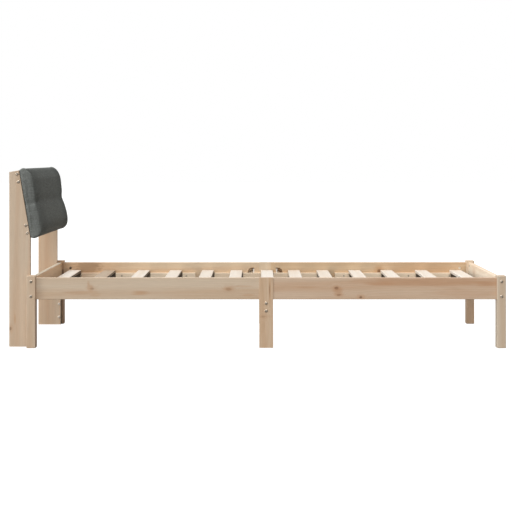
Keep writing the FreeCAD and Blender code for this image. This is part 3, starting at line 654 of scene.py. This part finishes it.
def sideways(starts, sign):
    """For each start, the direction across the bed: away from its middle for 1, to it for -1."""
    return [(0, sign * np.sign(start[1]), 0) for start in starts]


POSTS = [f"{end}_post_{side}" for end in ("head", "foot") for side in ("left", "right")]
BOARD_BOLT_SPACING = 0.0645
BOARD_BOLT_LENGTH = 0.091
RAIL_BOLT_SPACING = 0.038
RAIL_BOLT_LENGTH = 0.078
rail_side, rail_level = middle("side_rail_head_right")[1:]
board_points = []
rail_points = []
for post in POSTS:
    low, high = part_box(post)
    side = high[1] if "right" in post else low[1]
    end = low[0] if "head" in post else high[0]
    board_points.append(np.array([middle(post)[0], side, rail_level]))
    rail_points.append(np.array([end, rail_side * np.sign(side), rail_level]))
starts = couples(board_points, BOARD_BOLT_SPACING, UP)
fasten("board_bolts", bolt_rings(BOARD_BOLT_LENGTH), starts, sideways(starts, 1))
starts = couples(rail_points, RAIL_BOLT_SPACING, UP)
fasten("rail_bolts", bolt_rings(RAIL_BOLT_LENGTH), starts,
       [(np.sign(start[0]), 0, 0) for start in starts])

TIE_BOLT_SPACING = 0.033
LEG_BOLT_LENGTH = 0.064
beam_along, _, beam_level = middle("tie_beam")
leg_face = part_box("middle_leg_right")[1][1]
starts = couples([np.array([beam_along, sign * leg_face, beam_level]) for sign in (-1, 1)],
                 TIE_BOLT_SPACING, UP)
fasten("tie_beam_bolts", bolt_rings(LEG_BOLT_LENGTH), starts, sideways(starts, 1))

SLANT_START = 0.477
BATTEN_THICKNESS = 0.020
BATTEN_RISES = (0.039, 0.266)
BATTEN_BOLT_SPACING = 0.034
slant_foot = np.array([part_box("head_board")[0][0], 0, SLANT_START])
upright_inner, upright_outer = [corner[1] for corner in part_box("headrest_upright_right")]


def on_slant(forward, y, up):
    """A place on the headrest: forward out of the slant and up along it from its foot."""
    return slant_foot + forward * FORWARD + up * ALONG_SLANT + np.array([0, y, 0])


def on_battens(forward, reach):
    """A place near each end of both battens, this far from the bed's middle."""
    return [on_slant(forward, sign * reach, rise) for rise in BATTEN_RISES for sign in (-1, 1)]


starts = couples(on_battens(-BATTEN_THICKNESS / 2, upright_outer), BATTEN_BOLT_SPACING, ALONG_SLANT)
fasten("batten_bolts", bolt_rings(LEG_BOLT_LENGTH), starts, sideways(starts, 1))

UPRIGHT_BOLT_HEIGHT = 0.070
UPRIGHT_BOLT_SPACING = 0.064
UPRIGHT_BOLT_LENGTH = 0.062
post_along = middle("head_post_left")[0]
starts = couples([np.array([post_along, sign * upright_inner, UPRIGHT_BOLT_HEIGHT])
                  for sign in (-1, 1)], UPRIGHT_BOLT_SPACING, UP)
fasten("upright_bolts", bolt_rings(UPRIGHT_BOLT_LENGTH), starts, sideways(starts, -1), warm_zinc)


# Barrel nuts: short steel rods let into the timber across each bolt, with a screwdriver slot in
# the end. Only that end shows, level with the face of the rail, board, beam or batten.
NUT_RADIUS = 0.0062
NUT_CORE = 0.0051
NUT_LENGTH = 0.016
NUT_PROUD = 0.0004
NUT_NECK = 0.0006
NUT_SETBACK = 0.032
NUT_BEVEL = 0.0006
NUT_BEVEL_HEIGHT = 0.0003
SLOT_HALF_WIDTH = 0.0009
SLOT_HALF_LENGTH = 0.0052
SLOT_DEPTH = 0.0016
TINY = 1e-9
# Painted shade: the nut ends are near black; in the rails' foot half they are painted light, pale.
STEEL_DARK = (0.10, 0.08, 0.065, 1)
STEEL_PALE = (0.20, 0.17, 0.14, 1)
STEEL_PAINTED_LIGHT_AT_FOOT = (0.90, 0.84, 0.74, 1)
painted_shade_steel = plated("painted_shade_steel", STEEL_DARK, STEEL_PALE)
painted_light_and_shade_steel = plated("painted_light_and_shade_steel", STEEL_DARK, STEEL_PALE, painted_light_at_foot=STEEL_PAINTED_LIGHT_AT_FOOT)
slot_reach = np.minimum(SLOT_HALF_LENGTH / np.maximum(np.abs(rim[:, 0]), TINY),
                        SLOT_HALF_WIDTH / np.maximum(np.abs(rim[:, 1]), TINY))
slot_outline = rim * slot_reach[:, None]
nut_rings = [ring_at(slot_outline, 1.0, NUT_PROUD - SLOT_DEPTH),
             ring_at(slot_outline, 1.0, NUT_PROUD),
             ring_at(rim, NUT_RADIUS - NUT_BEVEL, NUT_PROUD),
             ring_at(rim, NUT_RADIUS, NUT_PROUD - NUT_BEVEL_HEIGHT),
             ring_at(rim, NUT_CORE, -NUT_NECK),
             ring_at(rim, NUT_CORE, -NUT_LENGTH)]

starts = []
for board, face in (("head_board", 1), ("foot_board", 0)):
    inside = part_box(board)[face][0]
    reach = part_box(board)[1][1] - NUT_SETBACK
    starts += couples([np.array([inside, y, rail_level]) for y in (-reach, reach)],
                      BOARD_BOLT_SPACING, UP)
fasten("board_barrel_nuts", nut_rings, starts, [(-np.sign(start[0]), 0, 0) for start in starts],
       painted_shade_steel)

rail_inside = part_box("side_rail_head_right")[0][1]
starts = couples([np.array([along, y, rail_level])
                  for along in (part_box("side_rail_head_left")[0][0] + NUT_SETBACK,
                                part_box("side_rail_foot_left")[1][0] - NUT_SETBACK)
                  for y in (-rail_inside, rail_inside)], RAIL_BOLT_SPACING, UP)
fasten("rail_barrel_nuts", nut_rings, starts, sideways(starts, -1), painted_light_and_shade_steel)

beam_face, beam_reach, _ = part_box("tie_beam")[1]
starts = couples([np.array([beam_face, sign * (beam_reach - NUT_SETBACK), beam_level])
                  for sign in (-1, 1)], TIE_BOLT_SPACING, UP)
fasten("tie_beam_barrel_nuts", nut_rings, starts, [(1, 0, 0)] * len(starts), painted_shade_steel)

starts = couples(on_battens(-BATTEN_THICKNESS, upright_inner - NUT_SETBACK),
                 BATTEN_BOLT_SPACING, ALONG_SLANT)
fasten("batten_barrel_nuts", nut_rings, starts, [-FORWARD] * len(starts), painted_shade_steel)


# Wood screws: zinc-plated countersunk screws with a cross recess, driven through slats, ledges
# and battens. Their heads sit almost level with the wood.
SCREW_HEAD = 0.0042
SCREW_HEAD_BEVEL = 0.0003
SCREW_BEVEL_HEIGHT = 0.0002
SCREW_CONE_TOP = (0.0034, -0.0005)
SCREW_CORE = 0.0017
SCREW_CONE_DEPTH = 0.0024
SCREW_POINT = 0.005
SCREW_POINT_RADIUS = 0.0002
SCREW_PROUD = 0.0003
CROSS_REACH = 0.0026
CROSS_WAIST = 0.0018
CROSS_POWER = 0.6
CROSS_TAPER = 0.45
CROSS_DEPTH = 0.0018
cross_reach = CROSS_REACH - CROSS_WAIST * np.abs(np.sin(2 * angle)) ** CROSS_POWER
cross_outline = rim * cross_reach[:, None]


def screw_rings(length):
    """A tapering cross recess, a flat head, its cone and the shank down to a point."""
    return [ring_at(cross_outline, CROSS_TAPER, SCREW_PROUD - CROSS_DEPTH),
            ring_at(cross_outline, 1.0, SCREW_PROUD),
            ring_at(rim, SCREW_HEAD - SCREW_HEAD_BEVEL, SCREW_PROUD),
            ring_at(rim, SCREW_HEAD, SCREW_PROUD - SCREW_BEVEL_HEIGHT),
            ring_at(rim, *SCREW_CONE_TOP),
            ring_at(rim, SCREW_CORE, -SCREW_CONE_DEPTH),
            ring_at(rim, SCREW_CORE, SCREW_POINT - length),
            ring_at(rim, SCREW_POINT_RADIUS, -length)]


SLAT_SCREW_LENGTH = 0.034
_, ledge_side, ledge_level = middle("slat_ledge_head_right")
starts = [np.array([middle(slat)[0], sign * ledge_side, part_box(slat)[1][2]])
          for slat in SLATS for sign in (-1, 1)]
fasten("slat_screws", screw_rings(SLAT_SCREW_LENGTH), starts, [UP] * len(starts))

LEDGE_SCREW_LENGTH = 0.040
LEDGE_SCREW_MARGIN = 0.044
LEDGE_SCREW_SHIFT = 0.059
starts = []
for name in like("slat_ledge"):
    low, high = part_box(name)
    inside = high[1] if "left" in name else low[1]
    step = ("foot" in name) - ("head" in name)
    places = (low[0] + LEDGE_SCREW_MARGIN, middle(name)[0] + step * LEDGE_SCREW_SHIFT,
              high[0] - LEDGE_SCREW_MARGIN)
    starts += [np.array([along, inside, ledge_level]) for along in places]
fasten("ledge_screws", screw_rings(LEDGE_SCREW_LENGTH), starts, sideways(starts, -1))

PANEL_SCREW_LENGTH = 0.034
PANEL_SCREW_INSET = 0.180
starts = on_battens(-BATTEN_THICKNESS, upright_inner - PANEL_SCREW_INSET)
fasten("panel_screws", screw_rings(PANEL_SCREW_LENGTH), starts, [-FORWARD] * len(starts))


# Rail joint hardware: a steel stud through each middle leg, half-round washers and hexagon nuts.
# They lie in half-round pockets in the rails' inner faces and draw the half rails onto the leg.
WHITE_ZINC_DARK = (0.74, 0.70, 0.64, 1)
WHITE_ZINC_PALE = (0.92, 0.88, 0.82, 1)
dress("joint_studs", zinc_plate)
dress("joint_hex_nuts", zinc_plate)
dress("half_moon_washers", plated("white_zinc", WHITE_ZINC_DARK, WHITE_ZINC_PALE, DULL_METAL))


# Headrest pad: foam on the plywood panel, under a tight cover of dark grey-green woven cloth.
# A sewn channel across the middle draws the cover in and leaves a fuller roll below a flatter one.
PAD_HEIGHT = 0.313
PAD_DROP = 0.008
PAD_CLEARANCE = 0.0003
PAD_LOWER = 0.0562
PAD_UPPER = 0.0526
PAD_CHANNEL = 0.0514
PAD_SIDE = 0.012
START_LARGER = 0.0022
ROLL_SHARE = 0.94
ROLL_LEAN = 1.35
ROLL_POWER = 1.5
LOWER_STRAIGHT = 0.77
UPPER_STRAIGHT = 0.62
EDGE_POWER = 2.5
BACK_SHARE = 0.94
SECTION_STEPS = 96
WIDTH_STEPS = 120
END_ROUND = 0.007
END_POWER = 2.2
END_DEPTH_LOSS = 0.10
END_HEIGHT_LOSS = 0.03
pad_half_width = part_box("headrest_pad")[1][1]
pad_middle = on_slant(0, 0, PAD_HEIGHT / 2 - PAD_DROP)


def pad_outline(steps):
    """The pad's section as forward and up: two rolls that follow a power of a sine bulge on either
    side of the channel, rounded edges at top and bottom, and a flat back."""
    half = PAD_HEIGHT / 2 + START_LARGER
    up = half * np.sin(np.linspace(-np.pi / 2, np.pi / 2, steps))
    share = up / half
    roll = np.where(share < 0, PAD_LOWER, PAD_UPPER)
    swing = np.pi * np.clip(np.abs(share) / ROLL_SHARE, 0, 1) ** ROLL_LEAN
    bulge = PAD_CHANNEL + (roll - PAD_CHANNEL) * np.sin(swing) ** ROLL_POWER
    straight = np.where(share < 0, LOWER_STRAIGHT, UPPER_STRAIGHT)
    nearing = np.clip((np.abs(share) - straight) / (1 - straight), 0, 1)
    edge = np.sqrt(np.clip(1 - nearing ** EDGE_POWER, 0, 1))
    front = PAD_SIDE + (bulge - PAD_SIDE + START_LARGER) * edge
    back_up = np.linspace(half * BACK_SHARE, -half * BACK_SHARE, steps // 2)
    back = np.full(steps // 2, PAD_CLEARANCE)
    return np.concatenate([front, back]), np.concatenate([up, back_up])


def pad_skin(name):
    """The section carried along the bed's width and drawn in on a rounded line at both ends."""
    reach = pad_half_width + START_LARGER
    across = reach * np.sin(np.linspace(-np.pi / 2, np.pi / 2, WIDTH_STEPS))
    nearing = np.clip((np.abs(across) - (reach - END_ROUND)) / END_ROUND, 0, 1)
    draw = 1 - np.sqrt(1 - nearing ** END_POWER)
    forward, up = pad_outline(SECTION_STEPS)
    deep = (forward - PAD_CLEARANCE)[None, :] * (1 - END_DEPTH_LOSS * draw)[:, None]
    tall = up[None, :] * (1 - END_HEIGHT_LOSS * draw)[:, None]
    wide = np.repeat(across[:, None], len(up), axis=1)
    rings = np.stack([PAD_CLEARANCE + deep, wide, tall], axis=2)
    levels, sides = rings.shape[:2]
    index = np.arange(levels * sides).reshape(levels, sides)
    beside = np.roll(index, -1, axis=1)
    quads = np.stack([index[:-1], beside[:-1], beside[1:], index[1:]], axis=2)
    faces = quads.reshape(-1, 4).tolist() + [index[0][::-1].tolist(), index[-1].tolist()]
    mesh = bpy.data.meshes.new(name)
    mesh.from_pydata(rings.reshape(-1, 3).tolist(), [], faces)
    return bring_in(bpy.data.objects.new(name, mesh))


def points_of(mesh):
    """The places of a mesh's vertices, one to a row."""
    places = np.empty(len(mesh.vertices) * 3)
    mesh.vertices.foreach_get("co", places)
    return places.reshape(-1, 3)


def apply_modifiers(item):
    """Puts what an object's modifiers make into its mesh, and removes them."""
    ready = item.evaluated_get(bpy.context.evaluated_depsgraph_get())
    mesh = bpy.data.meshes.new_from_object(ready)
    item.modifiers.clear()
    item.data = mesh


# The foam presses the cover out: an even mesh of the skin is swollen as cloth, its back held.
VOXEL = 0.0065
CLOTH_FRAMES = 20
CLOTH_PRESSURE = 4.0
CLOTH_STRETCH = 25
CLOTH_BEND = 2.0
HELD_DEPTH = 0.004
MOST_SWELL = 0.004
pad = pad_skin("headrest_cushion")
remesh = pad.modifiers.new("even_mesh", "REMESH")
remesh.mode = "VOXEL"
remesh.voxel_size = VOXEL
apply_modifiers(pad)
before = points_of(pad.data)
pins = pad.vertex_groups.new(name="held")
pins.add(np.flatnonzero(before[:, 0] < HELD_DEPTH).tolist(), 1.0, "REPLACE")
cloth = pad.modifiers.new("cover", "CLOTH").settings
cloth.use_pressure = True
cloth.uniform_pressure_force = CLOTH_PRESSURE
cloth.effector_weights.gravity = 0.0
cloth.vertex_group_mass = "held"
cloth.tension_stiffness = CLOTH_STRETCH
cloth.compression_stiffness = CLOTH_STRETCH
cloth.bending_stiffness = CLOTH_BEND
for moment in range(1, CLOTH_FRAMES + 1):
    scene.frame_set(moment)
apply_modifiers(pad)
scene.frame_set(1)
move = points_of(pad.data) - before
length = np.linalg.norm(move, axis=1)
places = before + move * np.minimum(1.0, MOST_SWELL / np.maximum(length, TINY))[:, None]

# The channel's stitching draws the cover in and puckers it, more so where it runs out at the ends.
FRONT_FADE = 0.015
VALLEY_WIDTH = 0.020
VALLEY_DEPTH = 0.0022
PUCKER_STEP = 0.047
PUCKER_SWAY = 2.2
PUCKER_BEAT = 9.0
PUCKER_DEPTH = 0.0005
DIMPLE_PLACE = 0.408
DIMPLE_WIDTH = 0.022
DIMPLE_HEIGHT = 0.015
DIMPLE_DEPTH = 0.005
TUCK_START = 0.405
TUCK_FADE = 0.035
TUCK_HEIGHT = 0.012
TUCK_DEPTH = 0.0035
forward, across, up = places.T
in_front = np.clip((forward - PAD_SIDE) / FRONT_FADE, 0, 1)
valley = np.exp(-(up / VALLEY_WIDTH) ** 2)
beat = across * 2 * np.pi / PUCKER_STEP + PUCKER_SWAY * np.sin(across * PUCKER_BEAT)
pucker = np.sin(beat) * np.exp(-np.abs(up) / VALLEY_WIDTH)
forward = forward - in_front * (VALLEY_DEPTH * valley + PUCKER_DEPTH * pucker)
from_dimple = (np.abs(across) - DIMPLE_PLACE) / DIMPLE_WIDTH
dimple = np.exp(-from_dimple ** 2 - (up / DIMPLE_HEIGHT) ** 2)
forward = forward - in_front * DIMPLE_DEPTH * dimple
toward_end = np.clip((np.abs(across) - TUCK_START) / TUCK_FADE, 0, 1)
tuck = toward_end * TUCK_DEPTH * np.exp(-(up / TUCK_HEIGHT) ** 2)
across = across - np.sign(across) * tuck

# The back is flat, with a recess in which the panel lies.
PANEL_MARGIN = 0.012
PANEL_THICKNESS = 0.009
RECESS_DEPTH = 0.011
forward = np.maximum(forward, PAD_CLEARANCE)
behind = ((np.abs(across) < pad_half_width - PANEL_MARGIN)
          & (np.abs(up) < PAD_HEIGHT / 2 - PANEL_MARGIN) & (forward < RECESS_DEPTH))
forward = np.where(behind, PANEL_THICKNESS + PAD_CLEARANCE, forward)
placed = pad_middle + forward[:, None] * FORWARD + up[:, None] * ALONG_SLANT
placed[:, 1] += across
pad.data.vertices.foreach_set("co", placed.ravel())
pad.data.shade_smooth()
pad.data.update()
smooth = pad.modifiers.new("smooth", "SUBSURF")
smooth.levels = 1
smooth.render_levels = 1

COVER_DARK = (0.125, 0.131, 0.121, 1)
COVER_PALE = (0.214, 0.226, 0.213, 1)
COVER_SPAN = (0.25, 0.75)
THREAD = 0.0016
UPRIGHT_SLUB = (320, 320, 24)
LEVEL_SLUB = (27, 27, 190)
PATCH = (11, 11, 11)
HEATHER = (210, 210, 210)
SLUB_DETAIL = 3.0
TINT_MIDDLE = 0.5
WEAVE_TINT = 0.16
SLUB_TINT = 0.7
PATCH_TINT = 0.12
HEATHER_TINT = 0.9
# Painted light and shade on the cover, by the way each face looks and by place.
FRONT_PAINTED_SHADE = -0.20
END_PAINTED_LIGHT = 0.06
REACH_SPAN = (0.20, 0.42)
REACH_PAINTED_SHADE_TINT = 0.10
REACH_PAINTED_SHADE = -0.15
PAINTED_FADE_SPAN = (0.004, 0.052)
PAINTED_FADE_ENDS = (0.15, -0.17)
TOP_PAINTED_LIGHT = 0.40
BROW_START = 0.20
BROW_PAINTED_SHADE = -1.15
SLUB_HEIGHT = 0.5
COVER_BUMP = 0.45
COVER_DEPTH = 0.0006
COVER_FINISH = {"Roughness": 0.95, "Specular IOR Level": 0.06, "Sheen Weight": 0.03,
                "Sheen Roughness": 0.5, "Sheen Tint": (0.75, 0.80, 0.78, 1)}


def woven(name):
    """Plain weave: waves along two axes are multiplied, so threads pass over and under each other,
    on the three planes of the pad, blended by where the surface faces; slubs along both threads, a
    fine heather and soft patches vary the tint. Painted shade darkens the faces that look forward,
    more so near both ends, and painted light brightens the end faces. The colour is then scaled by
    painted light and shade: darker on the front's upper brow and towards both of its ends, paler on
    top, and fading forward on the end faces."""
    material = bpy.data.materials.new(name)
    tree = emptied(material)
    reckon, steer = reckoners(tree)
    lean = {"Rotation": (0, TILT, 0)}
    place = wire(tree, "ShaderNodeTexCoord").outputs["Object"]
    place = wire(tree, "ShaderNodeMapping", {"Vector": place, **lean}).outputs[0]
    facing = wire(tree, "ShaderNodeNewGeometry").outputs["Normal"]
    facing = wire(tree, "ShaderNodeMapping", {"Vector": facing, **lean}).outputs[0]
    weights = steer("MULTIPLY", facing, facing)
    weights = wire(tree, "ShaderNodeSeparateXYZ", {"Vector": weights}).outputs
    facing = wire(tree, "ShaderNodeSeparateXYZ", {"Vector": facing}).outputs
    axes = wire(tree, "ShaderNodeSeparateXYZ", {"Vector": place}).outputs

    def slub(scale):
        """A noise with its own steps in a metre along each axis of the pad."""
        inputs = {"Vector": steer("MULTIPLY", place, scale), "Scale": 1.0, "Detail": SLUB_DETAIL}
        return wire(tree, "ShaderNodeTexNoise", inputs).outputs[0]

    waves = [reckon("SINE", reckon("MULTIPLY", axis, 2 * math.pi / THREAD)) for axis in axes]
    weave = 0.0
    for weight, first, second in ((0, 1, 2), (1, 0, 2), (2, 0, 1)):
        crossing = reckon("MULTIPLY", waves[first], waves[second])
        weave = reckon("MULTIPLY_ADD", crossing, weights[weight], weave)
    slubs = reckon("ADD", slub(UPRIGHT_SLUB), slub(LEVEL_SLUB))
    reach = wire(tree, "ShaderNodeMapRange",
                 {"Value": reckon("ABSOLUTE", axes["Y"]), "From Min": REACH_SPAN[0],
                  "From Max": REACH_SPAN[1]}, interpolation_type="SMOOTHSTEP").outputs[0]
    painted_shade_near_ends = reckon("MULTIPLY", reach, weights["X"])

    tint = reckon("MULTIPLY_ADD", slubs, SLUB_TINT, TINT_MIDDLE - SLUB_TINT)
    tint = reckon("MULTIPLY_ADD", weave, WEAVE_TINT, tint)
    for scale, strength in ((PATCH, PATCH_TINT), (HEATHER, HEATHER_TINT)):
        lowered = reckon("SUBTRACT", tint, strength / 2)
        tint = reckon("MULTIPLY_ADD", slub(scale), strength, lowered)
    tint = reckon("MULTIPLY_ADD", weights["X"], FRONT_PAINTED_SHADE, tint)
    tint = reckon("MULTIPLY_ADD", weights["Y"], END_PAINTED_LIGHT, tint)
    tint = reckon("SUBTRACT", tint, reckon("MULTIPLY", painted_shade_near_ends, REACH_PAINTED_SHADE_TINT))
    ramp = wire(tree, "ShaderNodeValToRGB", {"Fac": tint})
    for element, position, colour in zip(ramp.color_ramp.elements, COVER_SPAN,
                                         (COVER_DARK, COVER_PALE)):
        element.position = position
        element.color = colour

    back = float(slant_foot @ FORWARD)
    fade = wire(tree, "ShaderNodeMapRange", {"Value": axes["X"], "From Min": back + PAINTED_FADE_SPAN[0],
                                             "From Max": back + PAINTED_FADE_SPAN[1],
                                             "To Min": PAINTED_FADE_ENDS[0],
                                             "To Max": PAINTED_FADE_ENDS[1]}).outputs[0]
    front = reckon("MAXIMUM", facing["X"], 0.0)
    rise = reckon("MAXIMUM", reckon("SUBTRACT", facing["Z"], BROW_START), 0.0)
    top = reckon("MULTIPLY", weights["Z"], reckon("MAXIMUM", facing["Z"], 0.0))
    shade = reckon("MULTIPLY_ADD", weights["Y"], fade, 1.0)
    shade = reckon("MULTIPLY_ADD", top, TOP_PAINTED_LIGHT, shade)
    shade = reckon("MULTIPLY_ADD", reckon("MULTIPLY", front, rise), BROW_PAINTED_SHADE, shade)
    shade = reckon("MULTIPLY_ADD", painted_shade_near_ends, REACH_PAINTED_SHADE, shade)
    colour = wire(tree, "ShaderNodeVectorMath", {0: ramp.outputs[0], "Scale": shade},
                  operation="SCALE").outputs[0]
    height = reckon("MULTIPLY_ADD", slubs, SLUB_HEIGHT, weave)
    bump = wire(tree, "ShaderNodeBump", {"Height": height, "Strength": COVER_BUMP,
                                         "Distance": COVER_DEPTH}).outputs[0]
    coat(tree, {"Base Color": colour, "Normal": bump, **COVER_FINISH})
    return material


pad.data.materials.clear()
pad.data.materials.append(woven("headrest_cover"))
fitted(pad, "headrest_pad")
